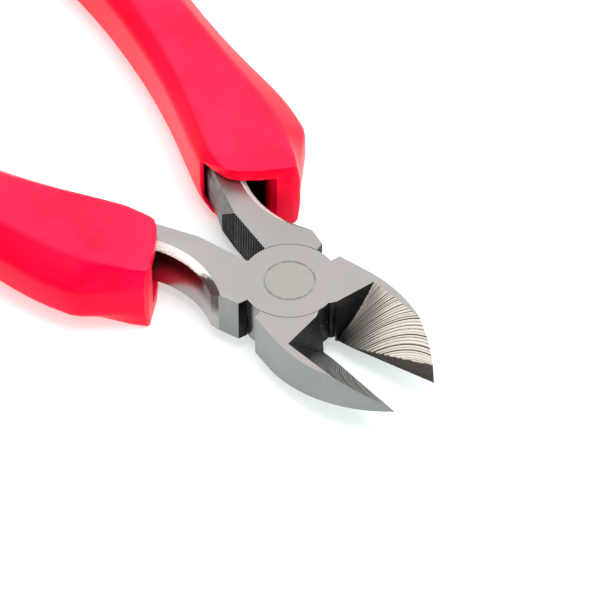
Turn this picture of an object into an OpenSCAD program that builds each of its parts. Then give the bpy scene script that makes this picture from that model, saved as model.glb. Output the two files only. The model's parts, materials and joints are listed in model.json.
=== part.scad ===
// Diagonal cutting pliers.
// Two forged steel levers cross in a lap joint held by one flush rivet, and each
// handle carries a moulded grip with a thumb guard. Both levers are drawn closed,
// jaws along +X, and then swung apart by half of jaw_opening each.
// The origin is on the pivot axis, on the back face of the head, with +Z up.

/* [Head] */
// Thickness of the head, through both halves of the lap
head_t = 10; // [9:0.5:12]
// Distance from the pivot to the jaw tips
jaw_l = 34.2; // [32:0.1:36]
// Width of one jaw at its widest, from the cutting line
jaw_w = 11; // [10.5:0.1:11.5]
// Distance from the pivot to the widest place of the jaws
jaw_widest_x = 11; // [10:0.5:12]
// Angle between the two levers as they are stored, 0 is closed
jaw_opening = 17.2; // [0:0.1:36]

/* [Cutting edges] */
// Rise of the underside of the jaws towards the tips, in degrees
underside_rise = 9.5; // [8:0.5:11]
// Rise of the hollow milled bevel along the jaw, in degrees
bevel_rise = 12.5; // [11:0.5:14]
// Radius of the hollow milled bevel across the jaw
bevel_r = 45; // [43:1:50]
// Slope of the hollow bevel where it starts, in degrees
bevel_slope = 36; // [35:0.5:37]
// Slope of the narrow ground edge below the milled bevel, in degrees
edge_slope = 52; // [48:1:56]
// Space left between the two edges when closed
edge_gap = 0.1; // [0.05:0.05:0.2]

/* [Joint] */
// Radius of the round lap half of each lever
lap_r = 9.35; // [9:0.05:9.6]
// Radial space round each lap half
lap_gap = 0.12; // [0.1:0.02:0.3]
// Space between the two lap faces
lap_face_gap = 0.06; // [0.04:0.02:0.2]
// Radius of the rivet's shank
shank_r = 3.9; // [3:0.1:4.2]
// Radius of the rivet's flush heads
rivet_head_r = 4.85; // [4.6:0.05:5.2]
// Depth of the rivet's conical heads
rivet_head_h = 1.6; // [1:0.1:2.5]
// Radial running clearance of the rivet in the lower lever
rivet_play = 0.05; // [0.02:0.01:0.1]

/* [Necks] */
// Spacing of the gripping teeth behind the joint
tooth_pitch = 0.6; // [0.58:0.01:0.62]
// Side of the square that cuts one tooth gap, standing on its corner
tooth_cut = 0.38; // [0.3:0.02:0.4]
// Lean of the facet that ends the teeth towards the grip, in degrees
facet_lean = 9.7; // [9:0.1:11]
// Radius of the waist in the outer side of each neck, seen from above
neck_waist_r = 18.6; // [18.3:0.1:19]
// Width of the chamfer ground along the top of that waist
waist_chamfer_w = 1.4; // [1:0.1:1.5]
// How far that chamfer reaches down from the top face
waist_chamfer_h = 1.3; // [1:0.1:1.6]

/* [Grips] */
// Half thickness of the grips
grip_half_t = 8; // [7.5:0.5:9]
// Depth of the sloped facet on the grip's inner side
inner_facet_h = 3; // [2:0.5:4]
// Depth of the sloped facet on the grip's outer side
outer_facet_h = 4.5; // [3:0.5:5]
// Thickness of the steel inside the grips
tang_t = 6.5; // [5:0.5:8]
// Width of the steel inside the grips
tang_w = 7; // [5:0.5:7.5]

/* [Hidden] */
$fn = 96;
far = 90;
mid_z = head_t / 2;
steel = [0.72, 0.69, 0.68];
rivet_steel = [0.66, 0.67, 0.65];
grip_red = [0.93, 0.05, 0.16];

// The outer rim of a jaw is one arc, level at the widest place and ending at the tip.
rim_r = (pow(jaw_l - jaw_widest_x, 2) + jaw_w * jaw_w) / (2 * jaw_w);
// The shoulders that stop the opening lie along two radii of the joint.
jaw_shoulder_angle = 70.4;
jaw_shoulder_r = 11.44;
neck_shoulder_angle = -111.3;
neck_shoulder_r = 11.37;
// The milled bevel ends towards the joint in a steep wall that leans over it.
wall_top = [10.35, 1.1];
wall_angle = 73;
wall_lean = 7;
underside_x = 10;
bevel_start = [14, 0.65];

// The neck, from its shoulder back into the grip.
neck_corner = [-8.5, -11.1];
neck_end = [-38.5, -6.8];
neck_waist_at = [-20.9, -26.4];
neck_inner_front = [-9.3, -0.8];
neck_inner_rear = [neck_end, [-36, -5.25], [-33, -4.3]];
tooth_line = [[-9.5, -0.81], [-20.4, -1.4], [-25.5, -2.05], [-30.1, -3.85]];
// Beyond the bend the teeth run out below a plane that slopes down to the back face,
// and a leaning facet is ground along the top edge.
bend_x = -20.4;
teeth_end_x = -30.2;
facet_start = [-20.4, -1.45];
facet_angle = 15.2;

// Stations of a grip from its mouth to its end, seen from above: the inner edge,
// the outer edge, the widths of the sloped facets at the two edges, and how far
// the section is drawn in.
grip_stations = [
    [[-24, -2.9], [-20.4, -17], 2, 0.5, 0],
    [[-30, -3.15], [-23.6, -19.2], 2, 0.9, 0],
    [[-36, -3.75], [-31.6, -26.4], 2, 5.7, 0],
    [[-44, -6], [-42, -28.6], 2.4, 6, 0],
    [[-54, -9.4], [-54.5, -27.4], 3, 4.5, 0],
    [[-66, -12], [-68, -28], 3.4, 4, 0],
    [[-84, -14.4], [-85, -30], 3.6, 4, 0],
    [[-104, -14.6], [-104, -30.4], 3.6, 4, 0],
    [[-122, -12.8], [-120, -28.6], 3.6, 4, 0],
    [[-138, -9.6], [-134.5, -25], 3.6, 4, 0],
    [[-145, -9.2], [-142, -21.8], 3.2, 3.4, 0.6],
    [[-148, -11.6], [-146.6, -17.8], 2, 2, 3]];
// The front of a grip, seen from above, from its inner to its outer side.
grip_front = [[-37, 0], [-35, -4], [-31.2, -4.6], [-28.5, -5.3], [-26.8, -6.7], [-24.3, -10.4],
    [-21.5, -16], [-21.3, -19]];
// The mouth of a grip is wider than the neck on its outer side, and open on its inner
// side in front of a thin wall.
mouth_hollow = [[-18, -2], [-18, -12.6], [-24, -13.4], [-33, -12.6], [-38.8, -11.8],
    [-38.8, -5.9], [-36, -4.55], [-34.9, -4.4], [-34.9, -2]];
mouth_half_h = 5.3;
// On the inner side the floor of the mouth reaches farther forward than its wall,
// and a round corner joins the two.
mouth_floor_y = -6.2;
mouth_wall_y = -4.05;
mouth_corner_x = -31.6;
mouth_corner_r = 3.3;
// Centre line of the steel inside a grip.
tang_line = [[-31, -7.4], [-38, -10.4], [-46, -14], [-56, -17.6], [-68, -20.2], [-84, -22.2],
    [-104, -22.5], [-120, -20.8], [-134, -17.8]];

module jaw_plan() {
    shoulder = jaw_shoulder_r * [cos(jaw_shoulder_angle), sin(jaw_shoulder_angle)];
    base_y = edge_gap / 2;
    polygon([[0, base_y], [jaw_widest_x + jaw_w / 2, base_y], [jaw_widest_x, jaw_w], shoulder]);
    intersection() {
        translate([jaw_widest_x, jaw_w - rim_r]) circle(r = rim_r, $fn = 240);
        translate([jaw_widest_x, base_y]) square([jaw_l, jaw_w]);
    }
}

module neck_plan() {
    shoulder = neck_shoulder_r * [cos(neck_shoulder_angle), sin(neck_shoulder_angle)];
    rear = [[0, 0], shoulder, neck_corner, [neck_end.x, neck_corner.y]];
    toothed = [for (i = [len(tooth_line) - 1:-1:0]) tooth_line[i]];
    polygon(concat(rear, neck_inner_rear, toothed, [neck_inner_front]));
}

// Plan of the tooth gaps along a line from one point to another.
module tooth_gaps(from, to) {
    length = norm(to - from);
    count = round(length / tooth_pitch);
    translate(from)
        rotate(atan2(to.y - from.y, to.x - from.x))
            for (i = [0:count - 1])
                translate([(i + 0.5) * length / count, 0])
                    rotate(45)
                        square(tooth_cut, center = true);
}

// The teeth: upright along the straight, running out beyond the bend.
module tooth_cuts() {
    intersection() {
        translate([0, 0, -1])
            linear_extrude(head_t + 2)
                for (i = [1:len(tooth_line) - 1])
                    tooth_gaps(tooth_line[i - 1], tooth_line[i]);
        translate([teeth_end_x, 0, 0])
            rotate([0, -atan2(head_t, bend_x - teeth_end_x), 0])
                translate([-far, -far, -far])
                    cube([2 * far, 2 * far, far]);
    }
}

// The leaning facet along the neck's inner top edge, from the bend into the grip.
module neck_facet() {
    translate([facet_start.x, facet_start.y, head_t])
        rotate([0, 0, facet_angle])
            rotate([facet_lean, 0, 0])
                translate([-far, 0, -far])
                    cube([far + 1, far, 2 * far]);
}

// Point at a share of the way across a station of the grip.
function across_grip(station, share) = station[0] + share * (station[1] - station[0]);

// Direction square to the line at its point i, towards the outer side.
function side_of(line, i) =
    let (a = line[max(i - 1, 0)])
    let (b = line[min(i + 1, len(line) - 1)])
    [b.y - a.y, a.x - b.x] / norm(b - a);

module tang_plan() {
    last = len(tang_line) - 1;
    inner = [for (i = [0:last]) tang_line[i] - side_of(tang_line, i) * tang_w / 2];
    outer = [for (i = [last:-1:0]) tang_line[i] + side_of(tang_line, i) * tang_w / 2];
    polygon(concat(inner, outer));
}

// Material taken from the outer side of the neck: a waist, upright for most of the
// thickness and chamfered along the top face.
module neck_waist() {
    translate([neck_waist_at.x, neck_waist_at.y, 0])
        rotate_extrude($fn = 180)
            polygon([
                [0, -1],
                [neck_waist_r, -1],
                [neck_waist_r, head_t - waist_chamfer_h],
                [neck_waist_r + 2 * waist_chamfer_w, head_t + waist_chamfer_h],
                [0, head_t + waist_chamfer_h]]);
}

// Everything on the tip's side of the steep wall that ends the bevel.
module end_wall_side() {
    translate([wall_top.x, wall_top.y, head_t])
        rotate([0, 0, wall_angle])
            rotate([-wall_lean, 0, 0])
                translate([-far, -far, -far])
                    cube([2 * far, far, 2 * far]);
}

// The hollow bevel is a piece of a cylinder whose axis rises along the jaw. It
// starts at the edge with bevel_slope and gets steeper towards the rim.
module bevel_cut() {
    intersection() {
        translate([bevel_start.x, -bevel_r * sin(bevel_slope), bevel_start[1]])
            rotate([0, -bevel_rise, 0])
                translate([-far, 0, bevel_r * cos(bevel_slope)])
                    rotate([0, 90, 0])
                        cylinder(r = bevel_r, h = 2 * far, $fn = 360);
        end_wall_side();
    }
}

module underside_cut() {
    translate([underside_x, 0, 0])
        rotate([0, -underside_rise, 0])
            translate([0, -far, -far])
                cube([far, 2 * far, far]);
}

// The ground edge is a plane through the cutting edge, steeper than the bevel.
module ground_edge_cut() {
    translate([underside_x, edge_gap / 2, 0])
        rotate([0, -underside_rise, 0])
            rotate([edge_slope, 0, 0])
                translate([0, -far, 0])
                    cube([far, 2 * far, far]);
}

// Cut that trims the corner between the lap half and the end wall of the bevel.
module throat_cut() {
    translate([0, 0, -1])
        linear_extrude(head_t + 2)
            polygon([[lap_r + 0.2, -1], [lap_r + 0.2, 0.1], wall_top, [wall_top.x + 1, -1]]);
}

// One lever at full thickness, closed, before the lap is cut.
module lever_blank() {
    difference() {
        union() {
            cylinder(r = lap_r, h = head_t);
            linear_extrude(head_t) jaw_plan();
            difference() {
                linear_extrude(head_t) neck_plan();
                neck_waist();
                tooth_cuts();
                neck_facet();
            }
            translate([0, 0, mid_z - tang_t / 2]) linear_extrude(tang_t) tang_plan();
        }
        bevel_cut();
        underside_cut();
        intersection() {
            ground_edge_cut();
            end_wall_side();
        }
        throat_cut();
    }
}

// The lap seat and the rivet hole are cut from the blank of either lever.
module lap_seat(from_z, to_z) {
    translate([0, 0, from_z]) cylinder(r = lap_r + lap_gap, h = to_z - from_z);
}

// The rivet, or the hole that takes it with the given play.
module rivet_shape(play) {
    rotate_extrude()
        polygon([
            [0, 0],
            [rivet_head_r + play, 0],
            [shank_r + play, rivet_head_h],
            [shank_r + play, head_t - rivet_head_h],
            [rivet_head_r + play, head_t],
            [0, head_t]]);
}

module lever_upper() {
    color(steel)
        rotate([0, 0, jaw_opening / 2])
            difference() {
                lever_blank();
                lap_seat(-1, mid_z + lap_face_gap / 2);
                rivet_shape(0);
            }
}

// The lower lever is the mirror image in plan, and its bevel also faces up.
module lever_lower() {
    color(steel)
        rotate([0, 0, -jaw_opening / 2])
            difference() {
                mirror([0, 1, 0]) lever_blank();
                lap_seat(mid_z - lap_face_gap / 2, head_t + 1);
                rivet_shape(rivet_play);
            }
}

module pivot_rivet() {
    color(rivet_steel) rivet_shape(0);
}

// Eight corners of a grip's section at a station.
function grip_ring(station) =
    let (width = norm(station[1] - station[0]))
    let (inner_share = station[2] / width)
    let (outer_share = 1 - station[3] / width)
    let (top = grip_half_t - station[4])
    let (inner_z = top - inner_facet_h)
    let (outer_z = top - outer_facet_h)
    let (corners = [
        [0, -inner_z], [0, inner_z], [inner_share, top], [outer_share, top],
        [1, outer_z], [1, -outer_z], [outer_share, -top], [inner_share, -top]])
    [for (c = corners) concat(across_grip(station, c[0]), mid_z + c[1])];

// A solid through a list of rings of equal length.
module skin(rings) {
    n = len(rings[0]);
    last = len(rings) - 1;
    points = [for (ring = rings) each ring];
    sides = [for (k = [0:last - 1], i = [0:n - 1])
        let (j = (i + 1) % n)
        each [
            [k * n + i, k * n + j, (k + 1) * n + j],
            [k * n + i, (k + 1) * n + j, (k + 1) * n + i]]];
    front = [[for (i = [n - 1:-1:0]) i]];
    back = [[for (i = [0:n - 1]) last * n + i]];
    polyhedron(points = points, faces = concat(sides, front, back));
}

// Everything in front of a grip, but for the floor of its mouth on the inner side.
module grip_front_cut() {
    difference() {
        translate([0, 0, -far])
            linear_extrude(2 * far)
                polygon(concat([[-10, 0]], grip_front, [[-10, -19]]));
        mouth_corner(mouth_floor_y, far);
    }
}

// The floor of the mouth up to its round corner, beyond a line along the grip.
module mouth_corner(from_y, depth) {
    floor_z = mid_z - mouth_half_h;
    difference() {
        translate([mouth_corner_x - far, from_y, floor_z - depth])
            cube([far, far, mouth_corner_r + depth]);
        translate([mouth_corner_x, from_y - 1, floor_z + mouth_corner_r])
            rotate([-90, 0, 0])
                cylinder(r = mouth_corner_r, h = far + 2);
    }
}

// The hollow of the mouth, from its floor to its roof.
module mouth_cut() {
    difference() {
        translate([0, 0, mid_z - mouth_half_h])
            linear_extrude(2 * mouth_half_h)
                polygon(mouth_hollow);
        mouth_corner(mouth_wall_y, 1);
    }
}

module grip_body() {
    difference() {
        skin([for (station = grip_stations) grip_ring(station)]);
        grip_front_cut();
        mouth_cut();
        translate([0, 0, mid_z - tang_t / 2]) linear_extrude(tang_t) tang_plan();
    }
}

module grip_upper() {
    color(grip_red)
        rotate([0, 0, jaw_opening / 2])
            grip_body();
}

module grip_lower() {
    color(grip_red)
        rotate([0, 0, -jaw_opening / 2])
            mirror([0, 1, 0])
                grip_body();
}

lever_upper();
lever_lower();
pivot_rivet();
grip_upper();
grip_lower();
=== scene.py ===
"""Diagonal cutting pliers: the looks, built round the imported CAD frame.

Lengths in the shape code are millimetres in the closed lever frame: pivot axis at
the origin, jaw along +X on the +Y side, neck and grip behind it on the -Y side.
lever_matrix() takes that frame to the place of either lever in the row frame.
"""

import json
import math

import bmesh
import bpy
import numpy as np
from mathutils import Matrix, Vector


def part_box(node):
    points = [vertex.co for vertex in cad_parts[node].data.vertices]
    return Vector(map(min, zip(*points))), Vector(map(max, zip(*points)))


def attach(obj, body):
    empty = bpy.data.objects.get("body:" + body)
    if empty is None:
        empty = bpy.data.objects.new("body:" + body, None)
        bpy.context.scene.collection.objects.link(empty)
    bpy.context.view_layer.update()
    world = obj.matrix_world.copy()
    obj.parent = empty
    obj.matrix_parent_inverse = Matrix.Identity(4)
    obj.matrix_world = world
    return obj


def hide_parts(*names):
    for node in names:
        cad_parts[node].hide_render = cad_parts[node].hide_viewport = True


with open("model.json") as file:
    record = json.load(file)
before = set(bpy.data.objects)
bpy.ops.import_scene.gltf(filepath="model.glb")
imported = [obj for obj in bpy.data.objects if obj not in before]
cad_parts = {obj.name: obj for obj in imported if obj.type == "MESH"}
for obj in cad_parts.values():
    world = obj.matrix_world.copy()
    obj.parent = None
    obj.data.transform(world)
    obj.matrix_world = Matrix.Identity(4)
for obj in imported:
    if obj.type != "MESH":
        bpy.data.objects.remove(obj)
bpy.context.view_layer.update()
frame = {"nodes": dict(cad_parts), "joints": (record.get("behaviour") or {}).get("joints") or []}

MM = 0.001
HEAD_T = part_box("pivot_rivet")[1].z / MM
MID_Z = HEAD_T / 2
PIVOT = frame["joints"][0]
HALF_OPENING = -PIVOT["range_deg"][0] / 2

# Radius of the rivet's head, as in the CAD model.
RIVET_R = 4.85

# The hollow bevel, as in the CAD model.
BEVEL_R = 45
BEVEL_SLOPE = math.radians(36)
BEVEL_RISE = math.radians(12.5)
BEVEL_START = (14, 0.65)
WALL_TOP = Vector((10.35, 1.1, HEAD_T))
WALL_ANGLE = math.radians(73)
WALL_LEAN = math.radians(7)

# Slots of a lever's mesh.
GROUND, SIDE, DARK, FACET, EDGE, WAIST, CHAMFER, MILLED = range(8)

# The toothed inner wall of a neck, as in the CAD model.
TOOTH_LINE = ((-30.1, -3.85), (-25.5, -2.05), (-20.4, -1.4), (-9.5, -0.81))
TEETH_END_X = -30.2
BEND_X = -20.4
RUN_OUT_RISE = HEAD_T / (BEND_X - TEETH_END_X)
UPRIGHT = 0.1


# ---------------------------------------------------------------- camera and stage

def make_camera():
    """The photographed view: from above, over the jaw tips' side, almost orthographic."""
    azimuth = math.radians(45.93)
    elevation = math.radians(48.0)
    frame_width = 113.98 * MM
    distance = 1.0
    aim_right = 1.976 * MM
    aim_down = 3.723 * MM
    back = Vector((
        math.sin(azimuth) * math.cos(elevation),
        -math.cos(azimuth) * math.cos(elevation),
        math.sin(elevation)))
    right = Vector((math.cos(azimuth), math.sin(azimuth), 0))
    up = back.cross(right)
    target = Vector((0, 0, HEAD_T * MM)) + right * aim_right - up * aim_down
    data = bpy.data.cameras.new("camera")
    data.lens = data.sensor_width * distance / frame_width
    data.clip_start = 0.01
    camera = bpy.data.objects.new("camera", data)
    camera.location = target + back * distance
    camera.rotation_euler = (-back).to_track_quat("-Z", "Y").to_euler()
    bpy.context.scene.collection.objects.link(camera)
    bpy.context.scene.camera = camera


def make_floor():
    """The white ground that the tool lies on."""
    z = min(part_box("grip_upper")[0].z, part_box("grip_lower")[0].z)
    half = 3.0
    mesh = bpy.data.meshes.new("floor")
    corners = [(-half, -half, z), (half, -half, z), (half, half, z), (-half, half, z)]
    mesh.from_pydata(corners, [], [(0, 1, 2, 3)])
    floor = bpy.data.objects.new("floor", mesh)
    bpy.context.scene.collection.objects.link(floor)
    material, _, _, shader = new_material("floor_white")
    shader.inputs["Base Color"].default_value = (0.70, 0.79, 0.78, 1)
    shader.inputs["Roughness"].default_value = 0.9
    shader.inputs["Specular IOR Level"].default_value = 0.1
    shader.inputs["Emission Color"].default_value = (1, 1, 1, 1)
    shader.inputs["Emission Strength"].default_value = 0.3
    mesh.materials.append(material)


def make_light(name, location, size, power):
    """A round lamp, size metres across, that faces the pivot."""
    data = bpy.data.lights.new(name, "AREA")
    data.shape = "DISK"
    data.size = size
    data.energy = power
    light = bpy.data.objects.new(name, data)
    light.location = location
    light.rotation_euler = (-Vector(location)).to_track_quat("-Z", "Y").to_euler()
    light.visible_camera = False
    bpy.context.scene.collection.objects.link(light)


def make_studio():
    world = bpy.data.worlds.new("studio")
    bpy.context.scene.world = world
    world.use_nodes = True
    background = world.node_tree.nodes["Background"]
    background.inputs["Color"].default_value = (1, 1, 1, 1)
    background.inputs["Strength"].default_value = 1.0
    make_light("key", (0.12, 0.12, 1.1), 0.7, 6)
    make_light("fill", (0.75, -0.72, 0.42), 0.7, 5)
    bpy.context.scene.view_settings.view_transform = "Standard"
    bpy.context.scene.view_settings.look = "None"


# ---------------------------------------------------------------- node helpers

def new_material(name):
    material = bpy.data.materials.new(name)
    material.use_nodes = True
    tree = material.node_tree
    return material, tree.nodes, tree.links, tree.nodes["Principled BSDF"]


def noise(nodes, links, coords, scale, detail=3.0, roughness=0.5, stretch=None):
    """A noise texture in millimetre units, optionally stretched along the axes."""
    mapping = nodes.new("ShaderNodeMapping")
    factor = stretch or (1, 1, 1)
    mapping.inputs["Scale"].default_value = [f / MM for f in factor]
    links.new(coords, mapping.inputs["Vector"])
    texture = nodes.new("ShaderNodeTexNoise")
    texture.inputs["Scale"].default_value = scale
    texture.inputs["Detail"].default_value = detail
    texture.inputs["Roughness"].default_value = roughness
    links.new(mapping.outputs["Vector"], texture.inputs["Vector"])
    return texture.outputs["Fac"]


def ramp(nodes, links, value, stops):
    """A colour ramp; stops are (position, colour or grey level)."""
    node = nodes.new("ShaderNodeValToRGB")
    elements = node.color_ramp.elements
    while len(elements) < len(stops):
        elements.new(0.5)
    for element, (position, colour) in zip(elements, stops):
        element.position = position
        if isinstance(colour, (int, float)):
            colour = (colour, colour, colour)
        element.color = (*colour, 1)
    links.new(value, node.inputs["Fac"])
    return node.outputs["Color"]


def mix(nodes, links, factor, first, second, blend="MIX"):
    node = nodes.new("ShaderNodeMix")
    node.data_type = "RGBA"
    node.blend_type = blend
    factor_in, first_in, second_in = node.inputs[0], node.inputs[6], node.inputs[7]
    for socket, value in ((factor_in, factor), (first_in, first), (second_in, second)):
        if isinstance(value, bpy.types.NodeSocket):
            links.new(value, socket)
        elif isinstance(value, (int, float)):
            socket.default_value = value
        else:
            socket.default_value = (*value, 1)
    return node.outputs[2]


def bump(nodes, links, shader, height, strength, distance):
    node = nodes.new("ShaderNodeBump")
    node.inputs["Strength"].default_value = strength
    node.inputs["Distance"].default_value = distance * MM
    links.new(height, node.inputs["Height"])
    links.new(node.outputs["Normal"], shader.inputs["Normal"])


def object_coords(nodes):
    return nodes.new("ShaderNodeTexCoord").outputs["Object"]


def maths(nodes, links, operation, first, second=0.0):
    node = nodes.new("ShaderNodeMath")
    node.operation = operation
    for socket, value in zip(node.inputs, (first, second)):
        if isinstance(value, bpy.types.NodeSocket):
            links.new(value, socket)
        else:
            socket.default_value = value
    return node.outputs[0]


def smear(nodes, links, value, low, high):
    """A smooth step from 0 at low to 1 at high."""
    node = nodes.new("ShaderNodeMapRange")
    node.interpolation_type = "SMOOTHSTEP"
    node.inputs["From Min"].default_value = low
    node.inputs["From Max"].default_value = high
    links.new(value, node.inputs["Value"])
    return node.outputs["Result"]


def swing(nodes, links, value, span):
    """Turns a value round 0.5 into one round 0 that swings span times as far."""
    return maths(nodes, links, "MULTIPLY", maths(nodes, links, "SUBTRACT", value, 0.5), span)


def point_value(nodes, name):
    """A value that is stored on the points of the mesh."""
    node = nodes.new("ShaderNodeAttribute")
    node.attribute_name = name
    return node.outputs["Fac"]


def height_above(nodes, links, coords):
    """Height above the levers' lower face, in millimetres."""
    parts = nodes.new("ShaderNodeSeparateXYZ")
    links.new(coords, parts.inputs[0])
    return maths(nodes, links, "MULTIPLY", parts.outputs["Z"], 1 / MM)


def surface(links, shader, base, roughness, metallic=1.0):
    """Gives the shader its colour, and a roughness that is a number or a socket."""
    links.new(base, shader.inputs["Base Color"])
    shader.inputs["Metallic"].default_value = metallic
    if isinstance(roughness, bpy.types.NodeSocket):
        links.new(roughness, shader.inputs["Roughness"])
    else:
        shader.inputs["Roughness"].default_value = roughness


def axis_distance(nodes, links, coords):
    """Distance from the pivot axis, in millimetres."""
    flat = nodes.new("ShaderNodeVectorMath")
    flat.operation = "MULTIPLY"
    flat.inputs[1].default_value = (1 / MM, 1 / MM, 0)
    links.new(coords, flat.inputs[0])
    length = nodes.new("ShaderNodeVectorMath")
    length.operation = "LENGTH"
    links.new(flat.outputs["Vector"], length.inputs[0])
    return length.outputs["Value"]


def seam_stain(nodes, links, coords):
    """1 in a ragged ring round the rivet's head, where dirt sits in the seam."""
    ragged = noise(nodes, links, coords, 1.6, 5, 0.7)
    shift = swing(nodes, links, ragged, 0.9)
    off = maths(nodes, links, "SUBTRACT", axis_distance(nodes, links, coords), RIVET_R)
    off = maths(nodes, links, "ABSOLUTE", maths(nodes, links, "ADD", off, shift))
    ring_edge, ring_middle = 0.36, 0.02
    ring = smear(nodes, links, off, ring_edge, ring_middle)
    patches = smear(nodes, links, noise(nodes, links, coords, 0.45, 3), 0.34, 0.6)
    everywhere, in_patches = 0.25, 0.6
    share = maths(nodes, links, "MULTIPLY", patches, in_patches)
    share = maths(nodes, links, "ADD", share, everywhere)
    return maths(nodes, links, "MULTIPLY", ring, share)


def ground_tone(nodes, links, coords, clouds, grain, tones):
    """The colour of a ground face: two tones in clouds, fine grain, and the seam's dirt."""
    first, second = tones
    base = ramp(nodes, links, clouds, [(0.35, first), (0.65, second)])
    fine = ramp(nodes, links, grain, [(0.25, 0.86), (0.75, 1.0)])
    base = mix(nodes, links, 1.0, base, fine, "MULTIPLY")
    stain = seam_stain(nodes, links, coords)
    return mix(nodes, links, stain, base, (0.19, 0.175, 0.16))


# ---------------------------------------------------------------- materials

def ground_steel(name, grip_shade_share):
    """Satin ground faces: warm grey, faint clouds, and a share of painted shade towards the grip,
    where the grip's rim shades the steel.
    """
    material, nodes, links, shader = new_material(name)
    coords = object_coords(nodes)
    clouds = noise(nodes, links, coords, 0.09, 2)
    grain = noise(nodes, links, coords, 5, 4, 0.65)
    tones = ((0.49, 0.475, 0.455), (0.53, 0.475, 0.47))
    base = ground_tone(nodes, links, coords, clouds, grain, tones)
    # Painted shade: towards the grip the steel turns a dark, cool grey, standing in for the shade
    # under the grip's rim.
    grip_shade_from, grip_shade_full = 21.5, 28.0
    from_pivot = axis_distance(nodes, links, coords)
    near_grip = smear(nodes, links, from_pivot, grip_shade_from, grip_shade_full)
    grip_shade = maths(nodes, links, "MULTIPLY", near_grip, grip_shade_share)
    base = mix(nodes, links, grip_shade, base, (0.13, 0.19, 0.18))
    rough = ramp(nodes, links, grain, [(0.3, 0.30), (0.7, 0.40)])
    surface(links, shader, base, rough)
    bump(nodes, links, shader, grain, 0.25, 0.02)
    return material


def side_steel():
    """Flanks: ground square to the faces, with fine upright lines; their darker, greener tone is
    painted shade, standing in for the shadowed floor that they reflect.
    """
    material, nodes, links, shader = new_material("side_steel")
    coords = object_coords(nodes)
    clouds = noise(nodes, links, coords, 0.12, 2)
    lines = noise(nodes, links, coords, 3.5, 3, 0.6, (1, 1, 0.06))
    # Painted shade: the flanks' base is kept dark and greenish for the shadowed floor they mirror.
    base = ramp(nodes, links, clouds, [(0.35, (0.225, 0.24, 0.225)), (0.7, (0.275, 0.26, 0.25))])
    fine = ramp(nodes, links, lines, [(0.3, 0.9), (0.7, 1.0)])
    base = mix(nodes, links, 1.0, base, fine, "MULTIPLY")
    surface(links, shader, base, 0.24)
    bump(nodes, links, shader, lines, 0.12, 0.02)
    return material


def facet_steel():
    """The mottled grey facet beyond the teeth."""
    material, nodes, links, shader = new_material("facet_steel")
    coords = object_coords(nodes)
    mottle = noise(nodes, links, coords, 0.9, 5, 0.7, (0.5, 1.3, 1))
    base = ramp(nodes, links, mottle, [(0.35, (0.06, 0.065, 0.06)), (0.65, (0.19, 0.19, 0.18))])
    surface(links, shader, base, 0.36)
    bump(nodes, links, shader, mottle, 0.3, 0.05)
    return material


def waist_steel():
    """The waist behind the joint: smoother, and darker towards its top, a painted shade that
    stands in for the dark reflection of the grip.
    """
    material, nodes, links, shader = new_material("waist_steel")
    coords = object_coords(nodes)
    streaks = noise(nodes, links, coords, 2.4, 4, 0.65, (1, 1, 0.25))
    height = height_above(nodes, links, coords)
    ragged = maths(nodes, links, "ADD", height, swing(nodes, links, streaks, 3.0))
    # Painted shade: the base darkens with height, standing in for the grip mirrored in the waist.
    waist_shade_from, waist_shade_full = 2.5, 7.0
    level = smear(nodes, links, ragged, waist_shade_from, waist_shade_full)
    base = mix(nodes, links, level, (0.37, 0.35, 0.34), (0.085, 0.065, 0.065))
    surface(links, shader, base, 0.26)
    bump(nodes, links, shader, streaks, 0.2, 0.03)
    return material


def chamfer_steel():
    """The streaked chamfer along the top of the waist: a painted highlight band above painted
    shade, narrower by the joint.
    """
    material, nodes, links, shader = new_material("chamfer_steel")
    coords = object_coords(nodes)
    hairs = noise(nodes, links, coords, 4.5, 4, 0.7, (1, 1, 0.2))
    # Painted highlight: the top of the chamfer is bright cream, standing in for the sky it
    # mirrors, and the band narrows towards the joint; below it the chamfer is painted dark for the
    # shade it mirrors.
    full_width_at, narrowest_at, narrowing = 18.5, 13.6, 1.5
    from_pivot = axis_distance(nodes, links, coords)
    near_joint = smear(nodes, links, from_pivot, full_width_at, narrowest_at)
    lost = maths(nodes, links, "MULTIPLY", near_joint, narrowing)
    height = maths(nodes, links, "SUBTRACT", height_above(nodes, links, coords), lost)
    ragged = maths(nodes, links, "ADD", height, swing(nodes, links, hairs, 1.4))
    chamfer_highlight_from, chamfer_highlight_full = 8.5, 9.0
    level = smear(nodes, links, ragged, chamfer_highlight_from, chamfer_highlight_full)
    chamfer_highlight = ramp(nodes, links, hairs, [(0.35, (0.62, 0.66, 0.60)), (0.6, (0.90, 0.98, 0.92))])
    base = mix(nodes, links, level, (0.06, 0.042, 0.036), chamfer_highlight)
    surface(links, shader, base, 0.4, metallic=0.3)
    bump(nodes, links, shader, hairs, 0.12, 0.02)
    return material


def edge_steel():
    """The narrow ground edge below the milling marks, brown-grey and grainy."""
    material, nodes, links, shader = new_material("edge_steel")
    coords = object_coords(nodes)
    grain = noise(nodes, links, coords, 3.5, 4, 0.7)
    base = ramp(nodes, links, grain, [(0.3, (0.05, 0.042, 0.037)), (0.7, (0.16, 0.135, 0.12))])
    surface(links, shader, base, 0.38)
    bump(nodes, links, shader, grain, 0.3, 0.03)
    return material


def dark_steel():
    """Scaled black recess walls and shoulders, and the gaps between the teeth, where the black is
    painted shade.
    """
    material, nodes, links, shader = new_material("dark_steel")
    coords = object_coords(nodes)
    clouds = noise(nodes, links, coords, 0.25, 4, 0.6)
    base = ramp(nodes, links, clouds, [(0.4, (0.010, 0.010, 0.011)), (0.75, (0.04, 0.037, 0.036))])
    surface(links, shader, base, 0.42)
    bump(nodes, links, shader, noise(nodes, links, coords, 2.5, 4, 0.6), 0.3, 0.05)
    return material


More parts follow.
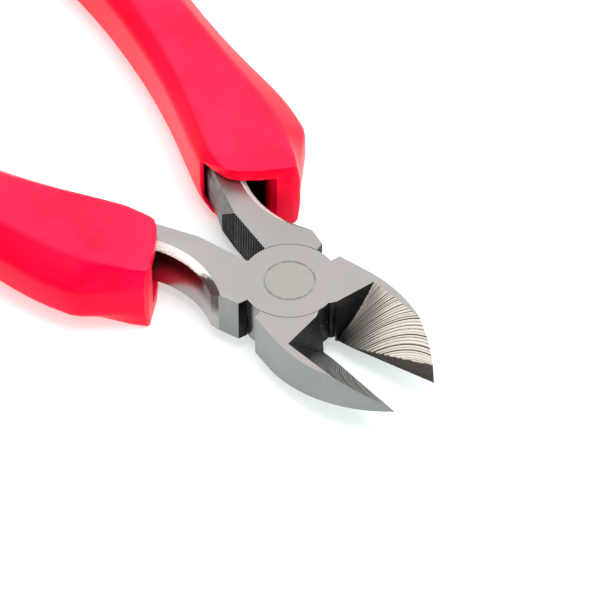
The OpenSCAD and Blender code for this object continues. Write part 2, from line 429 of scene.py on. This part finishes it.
def milled_steel(name, crest, slope, groove):
    """The fan of milling marks in tones given for one jaw: painted highlight on the crests,
    painted shade in the grooves, and painted shade towards the joint.
    """
    material, nodes, links, shader = new_material(name)
    coords = object_coords(nodes)
    flecks = noise(nodes, links, coords, 2.2, 4, 0.65)
    depth = point_value(nodes, "groove_depth")
    level = maths(nodes, links, "ADD", depth, swing(nodes, links, flecks, 0.5))
    # Painted light: colour follows groove depth, bright on the crests and dark in the grooves.
    base = ramp(nodes, links, level, [(0.10, crest), (0.42, slope), (0.8, groove)])
    base = mix(nodes, links, point_value(nodes, "recess_shade"), base, (0.02, 0.018, 0.016))
    surface(links, shader, base, 0.32)
    bump(nodes, links, shader, flecks, 0.2, 0.03)
    return material


def rivet_finish():
    """The rivet's ground head: the levers' finish, a little greener and duller."""
    material, nodes, links, shader = new_material("rivet_ground")
    coords = object_coords(nodes)
    clouds = noise(nodes, links, coords, 0.3, 3)
    grain = noise(nodes, links, coords, 5, 4, 0.65)
    tones = ((0.455, 0.46, 0.42), (0.50, 0.475, 0.445))
    base = ground_tone(nodes, links, coords, clouds, grain, tones)
    rough = ramp(nodes, links, grain, [(0.3, 0.32), (0.7, 0.42)])
    surface(links, shader, base, rough)
    bump(nodes, links, shader, grain, 0.25, 0.02)
    return material


def grip_red():
    """Moulded red plastic with a soft gloss and faint flow marks, and a painted sheen on faces
    that point up.
    """
    material, nodes, links, shader = new_material("grip_red")
    coords = object_coords(nodes)
    flow = noise(nodes, links, coords, 0.08, 3, 0.55)
    skin = noise(nodes, links, coords, 1.1, 4, 0.6)
    deep = ramp(nodes, links, flow, [(0.35, (0.92, 0.0, 0.018)), (0.65, (0.95, 0.0, 0.035))])
    painted_sheen_red = ramp(nodes, links, flow, [(0.35, (0.98, 0.012, 0.052)), (0.65, (0.98, 0.022, 0.075))])
    # Painted sheen: faces that point up get a paler, pinker red, standing in for the sky they
    # reflect.
    parts = nodes.new("ShaderNodeSeparateXYZ")
    links.new(nodes.new("ShaderNodeTexCoord").outputs["Normal"], parts.inputs[0])
    up = smear(nodes, links, parts.outputs["Z"], 0.72, 0.98)
    base = mix(nodes, links, up, deep, painted_sheen_red)
    rough = ramp(nodes, links, skin, [(0.3, 0.30), (0.7, 0.40)])
    surface(links, shader, base, rough, metallic=0.0)
    shader.inputs["Specular IOR Level"].default_value = 0.18
    shader.inputs["Specular Tint"].default_value = (1, 0.12, 0.38, 1)
    bump(nodes, links, shader, skin, 0.12, 0.06)
    return material


def grip_mouth():
    """Inside of a grip's mouth: the same red, turned near black a few millimetres in by painted
    shade.
    """
    material, nodes, links, shader = new_material("grip_mouth")
    base = ramp(nodes, links, point_value(nodes, "mouth_depth"), [
        (0.0, (1.0, 0.0, 0.05)), (0.42, (0.95, 0.0, 0.03)), (0.6, (0.4, 0.0, 0.006)),
        (0.78, (0.012, 0.0, 0.001))])
    surface(links, shader, base, 0.6, metallic=0.0)
    shader.inputs["Specular IOR Level"].default_value = 0.05
    flecks = noise(nodes, links, object_coords(nodes), 1.1, 3)
    bump(nodes, links, shader, flecks, 0.1, 0.05)
    return material


# ---------------------------------------------------------------- mesh helpers

WELD = 1e-3
ON_PLANE = 1e-4
FLAT_ANGLE = math.radians(0.2)


def lever_matrix(side):
    """From the closed lever frame, in mm, to the row frame. side is 1 for upper, -1 for lower."""
    turn = Matrix.Rotation(side * math.radians(HALF_OPENING), 4, "Z")
    mirror = Matrix.Diagonal((1, side, 1, 1))
    return Matrix.Scale(MM, 4) @ turn @ mirror


def add_object(name, mesh):
    obj = bpy.data.objects.new(name, mesh)
    bpy.context.scene.collection.objects.link(obj)
    return obj


def solid_object(name, work, *finishes):
    """Turns a closed bmesh into an object with the named materials."""
    face_outwards(work)
    mesh = bpy.data.meshes.new(name)
    work.to_mesh(mesh)
    work.free()
    for finish in finishes:
        mesh.materials.append(materials[finish])
    return add_object(name, mesh)


def join_rings(work, near, far):
    """Faces between two closed rings of points."""
    count = len(near)
    for i in range(count):
        j = (i + 1) % count
        work.faces.new((near[i], near[j], far[j], far[i]))


def around(faces):
    """The faces with their edges and points, as bisect_plane takes them."""
    edges = {e for f in faces for e in f.edges}
    points = {v for f in faces for v in f.verts}
    return [*faces, *edges, *points]


def baked(obj):
    """Applies the modifiers of obj."""
    graph = bpy.context.evaluated_depsgraph_get()
    graph.update()
    mesh = bpy.data.meshes.new_from_object(obj.evaluated_get(graph))
    old = obj.data
    obj.modifiers.clear()
    obj.data = mesh
    bpy.data.meshes.remove(old)


def cut(obj, tool):
    """Takes tool away from obj, with the tool's materials on the new faces."""
    modifier = obj.modifiers.new("cut", "BOOLEAN")
    modifier.operation = "DIFFERENCE"
    modifier.solver = "EXACT"
    modifier.material_mode = "TRANSFER"
    modifier.object = tool
    baked(obj)
    bpy.data.objects.remove(tool)


def rounded(obj, width, segments, angle, leave=lambda point: False):
    """Rounds the edges sharper than angle, in degrees, but for those at a point to leave."""
    work = bmesh.new()
    work.from_mesh(obj.data)
    weight = work.edges.layers.float.new("bevel_weight_edge")
    for edge in work.edges:
        sharp = len(edge.link_faces) == 2 and edge.calc_face_angle(0) > math.radians(angle)
        if sharp and not any(leave(v.co) for v in edge.verts):
            edge[weight] = 1.0
    work.to_mesh(obj.data)
    work.free()
    modifier = obj.modifiers.new("round", "BEVEL")
    modifier.width = width
    modifier.segments = segments
    modifier.limit_method = "WEIGHT"
    modifier.use_clamp_overlap = True
    modifier.harden_normals = False
    baked(obj)


def cad_copy(name, node, matrix):
    """A welded copy of a CAD node's mesh with flat faces merged, in the closed lever frame."""
    mesh = frame["nodes"][node].data.copy()
    mesh.materials.clear()
    work = bmesh.new()
    work.from_mesh(mesh)
    bmesh.ops.transform(work, matrix=matrix.inverted(), verts=work.verts)
    bmesh.ops.remove_doubles(work, verts=work.verts, dist=WELD)
    face_outwards(work)
    bmesh.ops.dissolve_limit(
        work, angle_limit=FLAT_ANGLE, verts=work.verts, edges=work.edges)
    for layer in list(work.loops.layers.uv):
        work.loops.layers.uv.remove(layer)
    work.to_mesh(mesh)
    work.free()
    for polygon in mesh.polygons:
        polygon.use_smooth = True
    return add_object(name, mesh)


def place(obj, matrix):
    """Takes a finished piece from the closed lever frame to the row frame."""
    obj.data.transform(matrix)
    if matrix.determinant() < 0:
        obj.data.flip_normals()


def face_outwards(work):
    """Points every face of a closed bmesh outwards."""
    bmesh.ops.recalc_face_normals(work, faces=work.faces)
    if work.calc_volume(signed=True) < 0:
        bmesh.ops.reverse_faces(work, faces=work.faces)


def prism(name, outline, low, high):
    """A closed upright prism over a plan outline, in the closed lever frame."""
    work = bmesh.new()
    bottom = [work.verts.new((x, y, low)) for x, y in outline]
    top = [work.verts.new((x, y, high)) for x, y in outline]
    work.faces.new(bottom)
    work.faces.new(top)
    join_rings(work, bottom, top)
    return solid_object(name, work)


def side_prism(name, outline, low, high):
    """A closed prism along Y over an outline of x and z."""
    obj = prism(name, outline, low, high)
    swap = Matrix(((1, 0, 0, 0), (0, 0, 1, 0), (0, 1, 0, 0), (0, 0, 0, 1)))
    obj.data.transform(swap)
    obj.data.flip_normals()
    return obj


# ---------------------------------------------------------------- milled bevels

GROOVES = 46
ROWS_PER_GROOVE = 8
GROOVE_DEPTH = 0.10
GROOVE_SEED = 11
# How far the crests between the grooves lie below the CAD bevel, and how far the
# milling stays in front of the wall at its end.
BITE = 0.02
LEDGE = 0.12
# A mark is an arc round a centre, between two angles, and a straight tail. The
# centres lie along a curve with these control points.
MARK_R = 16.5
MARK_CENTRES = ((27.6, 2.6), (26.6, -11.5), (32.0, -15.6))
MARK_START = 72
MARK_TURN = 165
MARK_TAIL = 9.0
# The painted shade round the recess at the end of the bevel.
RECESS_CENTRE = (10.9, 0.4)
RECESS_SQUASH = 0.8
RECESS_REACH = 6.8
RECESS_SHADE = 1.25


def bevel_z(x, y):
    """Height of the hollow bevel of the CAD model over a place in the plan."""
    beyond_rim = 14
    start_x, start_z = BEVEL_START
    across = np.minimum(y, beyond_rim) + BEVEL_R * math.sin(BEVEL_SLOPE)
    sag = BEVEL_R * math.cos(BEVEL_SLOPE) - np.sqrt(BEVEL_R ** 2 - across ** 2)
    rise = (x - start_x) * math.sin(BEVEL_RISE)
    return start_z + (sag + rise) / math.cos(BEVEL_RISE)


def mark_centres(count):
    """Centres of the milling arcs, evenly spaced along a curve in the plan."""
    fine_steps = 400
    t = np.linspace(0, 1, fine_steps)[:, None]
    a, b, c = (np.array(p, float) for p in MARK_CENTRES)
    curve = (1 - t) ** 2 * a + 2 * t * (1 - t) * b + t ** 2 * c
    steps = np.r_[0, np.cumsum(np.linalg.norm(np.diff(curve, axis=0), axis=1))]
    wanted = np.linspace(0, steps[-1], count)
    return np.c_[np.interp(wanted, steps, curve[:, 0]), np.interp(wanted, steps, curve[:, 1])]


def mark_path():
    """Offsets from an arc's centre to its points: an arc, then its straight tail."""
    arc_points, tail_points = 40, 9
    angles = np.radians(np.linspace(MARK_START, MARK_TURN, arc_points))
    arc = MARK_R * np.c_[np.cos(angles), np.sin(angles)]
    end = math.radians(MARK_TURN)
    tail_dir = np.array((-math.sin(end), math.cos(end)))
    tail = arc[-1] + np.linspace(0, MARK_TAIL, tail_points + 1)[1:, None] * tail_dir
    return np.r_[arc, tail]


def groove_profile():
    """Depth below the bevel of each row of the milling tool's mesh, 0 on the crests."""
    rng = np.random.default_rng(GROOVE_SEED)
    depths = GROOVE_DEPTH * rng.uniform(0.45, 1.1, GROOVES)
    ends = np.cumsum(rng.uniform(0.65, 1.35, GROOVES))
    ends = np.r_[0, ends * GROOVES / ends[-1]]
    place_of_row = np.linspace(0, GROOVES, GROOVES * ROWS_PER_GROOVE + 1)
    phase = np.interp(place_of_row, ends, np.arange(GROOVES + 1))
    index = np.minimum(phase.astype(int), GROOVES - 1)
    crest_sharpness = 1.2
    return depths[index] * (0.5 - 0.5 * np.cos(2 * np.pi * phase)) ** crest_sharpness


def solid_over(grid, ceiling_z):
    """A closed bmesh between a grid of points and a flat ceiling."""
    work = bmesh.new()
    low = [[work.verts.new(point) for point in row] for row in grid]
    for row, following in zip(low, low[1:]):
        for j in range(len(row) - 1):
            work.faces.new((row[j], following[j], following[j + 1], row[j + 1]))
    right = [row[-1] for row in low[1:]]
    back = low[-1][-2::-1]
    left = [row[0] for row in low[-2:0:-1]]
    rim = [*low[0], *right, *back, *left]
    ceiling = [work.verts.new((v.co.x, v.co.y, ceiling_z)) for v in rim]
    join_rings(work, rim, ceiling)
    work.faces.new(ceiling)
    return work


def wall_normal():
    """Normal of the steep wall at the end of the bevel, pointing into the joint."""
    turn = Matrix.Rotation(WALL_ANGLE, 3, "Z") @ Matrix.Rotation(-WALL_LEAN, 3, "X")
    return turn @ Vector((0, 1, 0))


def stop_at_wall(work):
    """Cuts off what would lie beyond the steep wall, and closes the cut."""
    normal = wall_normal()
    sliced = bmesh.ops.bisect_plane(
        work, geom=[*work.verts, *work.edges, *work.faces], dist=1e-5,
        plane_co=WALL_TOP - normal * LEDGE, plane_no=normal, clear_outer=True)
    edges = [e for e in sliced["geom_cut"] if isinstance(e, bmesh.types.BMEdge)]
    bmesh.ops.holes_fill(work, edges=[e for e in edges if e.is_boundary], sides=0)


def milling_tool(side):
    """The solid that a mill swept over the jaw: its underside is the grooved bevel."""
    profile = groove_profile()
    xy = mark_centres(len(profile))[:, None, :] + mark_path()[None, :, :]
    z = bevel_z(xy[..., 0], xy[..., 1]) - BITE - profile[:, None]
    clear_of_head = HEAD_T + 3
    work = solid_over(np.dstack((xy, z)), clear_of_head)
    stop_at_wall(work)
    return solid_object("milling_tool", work, "milled_upper" if side > 0 else "milled_lower")


# ---------------------------------------------------------------- levers

def finish_of(centre, normal):
    """Which finish a face of a lever has, from its place in the closed lever frame."""
    radius = math.hypot(centre.x, centre.y)
    if abs(normal.z) > 0.9:
        return GROUND
    on_wall = normal.dot(-wall_normal()) > 0.97 and centre.x > 9
    in_recess = radius < 10.6 and centre.x > 8 or radius < 9.6 and centre.x > 5
    if on_wall or in_recess:
        return DARK
    if centre.x > 9 and centre.y < 1.3 and normal.y < -0.3:
        return EDGE
    by_shoulder = 9.3 < radius < 11.3 and abs(centre.x) < 5.5
    if by_shoulder and abs(normal.x) > 0.75:
        return DARK
    beyond_bend = centre.x < BEND_X and normal.y > 0.8
    if beyond_bend and normal.z > 0.12:
        return FACET
    if centre.x < -8.6 and centre.y < -4 and normal.y < 0:
        return CHAMFER if normal.z > 0.4 else WAIST
    in_teeth = near_teeth(centre) and centre.z < run_out_z(centre.x)
    if in_teeth and abs(normal.z) < UPRIGHT and normal.y > -0.1:
        # The tooth gaps take the black finish as painted shade; the crests keep the flank finish.
        crest = normal.y > 0.88
        return SIDE if crest else DARK
    return FACET if beyond_bend else SIDE


def near_teeth(point):
    """Whether a point is within a tooth's depth of the toothed wall."""
    tooth_depth, margin = 0.5, 0.2
    xs, ys = zip(*TOOTH_LINE)
    if not xs[0] - margin < point.x < xs[-1] + margin:
        return False
    return point.y > np.interp(point.x, xs, ys) - tooth_depth


def run_out_z(x):
    """Height of the slanted line at which the teeth run out."""
    return (x - TEETH_END_X) * RUN_OUT_RISE


def split_wall(obj):
    """Splits the faces of the toothed wall along the line where the teeth run out."""
    work = bmesh.new()
    work.from_mesh(obj.data)
    upright = [f for f in work.faces if abs(f.normal.z) < UPRIGHT]
    wall = [f for f in upright if near_teeth(f.calc_center_median())]
    bmesh.ops.bisect_plane(
        work, geom=around(wall), dist=ON_PLANE,
        plane_co=(TEETH_END_X, 0, 0), plane_no=(-RUN_OUT_RISE, 0, 1))
    work.to_mesh(obj.data)
    work.free()


def paint_lever(obj):
    """Gives every face but the milled ones its finish."""
    for polygon in obj.data.polygons:
        if polygon.material_index != MILLED:
            polygon.material_index = finish_of(polygon.center, polygon.normal)


def mark_milling(obj):
    """Stores each point's depth in the milling marks and how near the dark recess it is."""
    mesh = obj.data
    count = len(mesh.vertices)
    co = np.zeros(count * 3)
    mesh.vertices.foreach_get("co", co)
    x, y, z = co.reshape(-1, 3).T
    depth = (bevel_z(x, y) - z - BITE) / GROOVE_DEPTH
    from_recess = np.hypot(x - RECESS_CENTRE[0], (y - RECESS_CENTRE[1]) * RECESS_SQUASH)
    shade = RECESS_SHADE - from_recess / RECESS_REACH
    for name, values in (("groove_depth", depth), ("recess_shade", shade)):
        attribute = mesh.attributes.new(name, "FLOAT", "POINT")
        attribute.data.foreach_set("value", np.clip(values, 0, 1).astype(np.float32))


def sharpen(obj, plain_angle, milled_angle):
    """Shades obj smoothly but for edges sharper than an angle in degrees, which stay crisp."""
    work = bmesh.new()
    work.from_mesh(obj.data)
    for face in work.faces:
        face.smooth = True
    for edge in work.edges:
        if len(edge.link_faces) != 2:
            continue
        milled = all(f.material_index == MILLED for f in edge.link_faces)
        limit = milled_angle if milled else plain_angle
        edge.smooth = edge.calc_face_angle(0) < math.radians(limit)
    work.to_mesh(obj.data)
    work.free()


def make_lever(name, node, body, side):
    """A lever: the CAD forging with its edges rounded, its bevel milled, its faces finished."""
    obj = cad_copy(name, node, lever_matrix(side))
    rounded(obj, width=0.1, segments=2, angle=28, leave=near_teeth)
    ground = "ground_upper" if side > 0 else "ground_lower"
    for key in (ground, "side", "dark", "facet", "edge", "waist", "chamfer"):
        obj.data.materials.append(materials[key])
    cut(obj, milling_tool(side))
    split_wall(obj)
    paint_lever(obj)
    mark_milling(obj)
    sharpen(obj, plain_angle=14, milled_angle=50)
    place(obj, lever_matrix(side))
    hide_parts(node)
    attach(obj, body)


# ---------------------------------------------------------------- rivet

def make_rivet():
    """The rivet: the CAD solid with its rims rounded."""
    obj = cad_copy("rivet", "pivot_rivet", lever_matrix(1))
    rounded(obj, width=0.03, segments=2, angle=28)
    obj.data.materials.append(materials["rivet"])
    sharpen(obj, plain_angle=20, milled_angle=20)
    place(obj, lever_matrix(1))
    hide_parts("pivot_rivet")
    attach(obj, "upper")


# ---------------------------------------------------------------- grips

# Stations of a grip from mouth to end, seen from above: inner edge, outer edge,
# widths of the sloped facets at the two edges, and how far the section is drawn in.
GRIP_STATIONS = (
    ((-24, -2.9), (-20.4, -17), 2, 0.5, 0),
    ((-30, -3.15), (-23.6, -19.2), 2, 0.9, 0),
    ((-36, -3.75), (-31.6, -26.4), 2, 5.7, 0),
    ((-44, -6), (-42, -28.6), 2.4, 6, 0),
    ((-54, -9.4), (-54.5, -27.4), 3, 4.5, 0),
    ((-66, -12), (-68, -28), 3.4, 4, 0),
    ((-84, -14.4), (-85, -30), 3.6, 4, 0),
    ((-104, -14.6), (-104, -30.4), 3.6, 4, 0),
    ((-122, -12.8), (-120, -28.6), 3.6, 4, 0),
    ((-138, -9.6), (-134.5, -25), 3.6, 4, 0),
    ((-145, -9.2), (-142, -21.8), 3.2, 3.4, 0.6),
    ((-148, -11.6), (-146.6, -17.8), 2, 2, 3))
# A grip's front as seen from above, from its inner to its outer edge.
GRIP_FRONT = (
    (-37, 0), (-35, -4), (-31.2, -4.6), (-28.5, -5.3), (-26.8, -6.7), (-24.3, -10.4),
    (-21.5, -16), (-21.3, -19))
# The hollow of the mouth as seen from above, and the round corner of its floor.
MOUTH = (
    (-18, -2), (-18, -12.6), (-24, -13.4), (-33, -12.6), (-38.8, -11.8), (-38.8, -5.9),
    (-36, -4.55), (-34.9, -4.4), (-34.9, -2))
MOUTH_HALF_H = 5.3
MOUTH_FLOOR_Y = -6.2
MOUTH_WALL_Y = -4.05
MOUTH_CORNER_X = -31.6
MOUTH_CORNER_R = 3.3
# How far in the mouth the painted shade deepens, and the places where its inside is split to shade
# it.
MOUTH_SHADE_REACH = 5.0
MOUTH_SPLITS = np.arange(-26.0, -30.5, -0.7)
# Half a grip's thickness, the heights of its sloped facets, and its rounded corners.
GRIP_HALF_T = 8
INNER_FACET_H = 3
OUTER_FACET_H = 4.5
CORNER_CUT = 1.1
CORNER_POINTS = 5
RINGS = 76


def grip_station_rows():
    """The stations as rows of numbers, filled in evenly and eased behind the guard."""
    keys = np.array([[*a, *b, c, d, e] for a, b, c, d, e in GRIP_STATIONS], float)
    middle = (keys[:, :2] + keys[:, 2:4]) / 2
    along = np.r_[0, np.cumsum(np.linalg.norm(np.diff(middle, axis=0), axis=1))]
    wanted = np.linspace(0, along[-1], RINGS)
    rows = np.stack([np.interp(wanted, along, keys[:, k]) for k in range(keys.shape[1])], axis=1)
    guard_length, blend_length, full_ease = 14, 25, 0.9
    ease = np.clip((wanted - guard_length) / blend_length, 0, 1)[:, None] * full_ease
    end_rings, passes = 4, 30
    ease[-end_rings:] = 0
    for _ in range(passes):
        mean = rows.copy()
        mean[1:-1] = (rows[:-2] + rows[2:]) / 2
        rows += ease * (mean - rows)
    return rows


def grip_ring(row):
    """Points of a grip's section at a station: eight facets with rounded corners."""
    inner = np.array((*row[:2], MID_Z))
    outer = np.array((*row[2:4], MID_Z))
    width = np.linalg.norm(outer - inner)
    across = (outer - inner) / width
    up = np.array((0, 0, 1.0))
    top = GRIP_HALF_T - row[6]
    inner_z = top - INNER_FACET_H
    outer_z = top - OUTER_FACET_H
    corners = [
        (0, -inner_z), (0, inner_z), (row[4], top), (width - row[5], top),
        (width, outer_z), (width, -outer_z), (width - row[5], -top), (row[4], -top)]
    corners = [inner + across * a + up * b for a, b in corners]
    points = []
    for i, corner in enumerate(corners):
        following = corners[(i + 1) % len(corners)]
        start = corner_end(corner, corners[i - 1])
        end = corner_end(corner, following)
        for t in np.linspace(0, 1, CORNER_POINTS):
            points.append((1 - t) ** 2 * start + 2 * t * (1 - t) * corner + t ** 2 * end)
    return points


def corner_end(corner, neighbour):
    """Where a corner's rounding ends on the way to its neighbour."""
    most_of_side = 0.4
    side = neighbour - corner
    return corner + side * min(CORNER_CUT / np.linalg.norm(side), most_of_side)


def grip_skin(name):
    """A whole grip, lofted through its stations."""
    work = bmesh.new()
    rings = [[work.verts.new(p) for p in grip_ring(row)] for row in grip_station_rows()]
    for near, far in zip(rings, rings[1:]):
        join_rings(work, near, far)
    work.faces.new(rings[0])
    work.faces.new(rings[-1])
    return solid_object(name, work, "grip")


def front_tool():
    """Everything in front of a grip, but for the floor of its mouth and its round corner."""
    clear_x, clear_h, clear_depth = -10, 20, 30
    inner_y, outer_y = GRIP_FRONT[0][1], GRIP_FRONT[-1][1]
    front = ((clear_x, inner_y), *GRIP_FRONT, (clear_x, outer_y))
    tool = prism("front_cut", front, MID_Z - clear_h, MID_Z + clear_h)
    cut(tool, mouth_corner(MOUTH_FLOOR_Y, depth=clear_depth))
    tool.data.materials.append(materials["grip"])
    return tool


def mouth_corner(from_y, depth):
    """The floor of the mouth up to its round corner, beyond a line along the grip."""
    floor_z = MID_Z - MOUTH_HALF_H
    centre_x, centre_z = MOUTH_CORNER_X, floor_z + MOUTH_CORNER_R
    arc_points = 13
    corner = [
        (centre_x + MOUTH_CORNER_R * math.cos(a), centre_z + MOUTH_CORNER_R * math.sin(a))
        for a in np.radians(np.linspace(-90, -180, arc_points))]
    clear_length, clear_y = 60, 20
    left = MOUTH_CORNER_X - clear_length
    low = floor_z - depth
    outline = [(left, low), (MOUTH_CORNER_X, low), *corner, (left, corner[-1][1])]
    return side_prism("mouth_corner", outline, from_y, clear_y)


def mouth_tool():
    """The hollow of the mouth, whose walls take the mouth's own finish."""
    tool = prism("mouth_cut", MOUTH, MID_Z - MOUTH_HALF_H, MID_Z + MOUTH_HALF_H)
    corner = mouth_corner(MOUTH_WALL_Y, depth=1)
    for obj in (tool, corner):
        obj.data.materials.append(materials["mouth"])
    cut(tool, corner)
    return tool


def mark_mouth(obj):
    """Splits the inside of the mouth and stores how far in each point of it is."""
    front_y, front_x = zip(*sorted((y, x) for x, y in GRIP_FRONT))
    work = bmesh.new()
    work.from_mesh(obj.data)
    mouth_slot = 1
    for x in MOUTH_SPLITS:
        inside = [f for f in work.faces if f.material_index == mouth_slot]
        bmesh.ops.bisect_plane(
            work, geom=around(inside), dist=ON_PLANE, plane_co=(x, 0, 0), plane_no=(1, 0, 0))
    depth = work.verts.layers.float.new("mouth_depth")
    for vert in work.verts:
        inwards = np.interp(vert.co.y, front_y, front_x) - vert.co.x
        vert[depth] = min(max(inwards / MOUTH_SHADE_REACH, 0), 1)
    work.to_mesh(obj.data)
    work.free()


def make_grip(name, node, body, side):
    """A grip: the loft with its front cut back, its mouth hollowed and its edges rounded."""
    obj = grip_skin(name)
    cut(obj, front_tool())
    cut(obj, mouth_tool())
    rounded(obj, width=0.35, segments=3, angle=35)
    mark_mouth(obj)
    sharpen(obj, plain_angle=32, milled_angle=32)
    place(obj, lever_matrix(side))
    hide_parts(node)
    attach(obj, body)


# ---------------------------------------------------------------- scene

make_camera()
make_floor()
make_studio()
materials = {
    "ground_upper": ground_steel("ground_steel", 0.0),
    # The lower lever's ground faces carry painted shade towards the grip; the upper lever's carry
    # none.
    "ground_lower": ground_steel("ground_steel_grip_shaded", 0.75),
    "side": side_steel(),
    "dark": dark_steel(),
    "facet": facet_steel(),
    "edge": edge_steel(),
    "waist": waist_steel(),
    "chamfer": chamfer_steel(),
    # The lower jaw's fan takes darker, shaded tones and the upper jaw's bright, lit ones: painted
    # shade and painted highlight.
    "milled_lower": milled_steel(
        "milled_steel_shaded", (0.36, 0.37, 0.34), (0.13, 0.13, 0.12), (0.02, 0.02, 0.02)),
    "milled_upper": milled_steel(
        "milled_steel", (1.0, 0.94, 0.84), (0.74, 0.65, 0.56), (0.11, 0.085, 0.07)),
    "rivet": rivet_finish(),
    "grip": grip_red(),
    "mouth": grip_mouth(),
}
make_lever("lever_upper_forging", "lever_upper", "upper", 1)
make_lever("lever_lower_forging", "lever_lower", "lower", -1)
make_rivet()
make_grip("grip_upper_sleeve", "grip_upper", "upper", 1)
make_grip("grip_lower_sleeve", "grip_lower", "lower", -1)
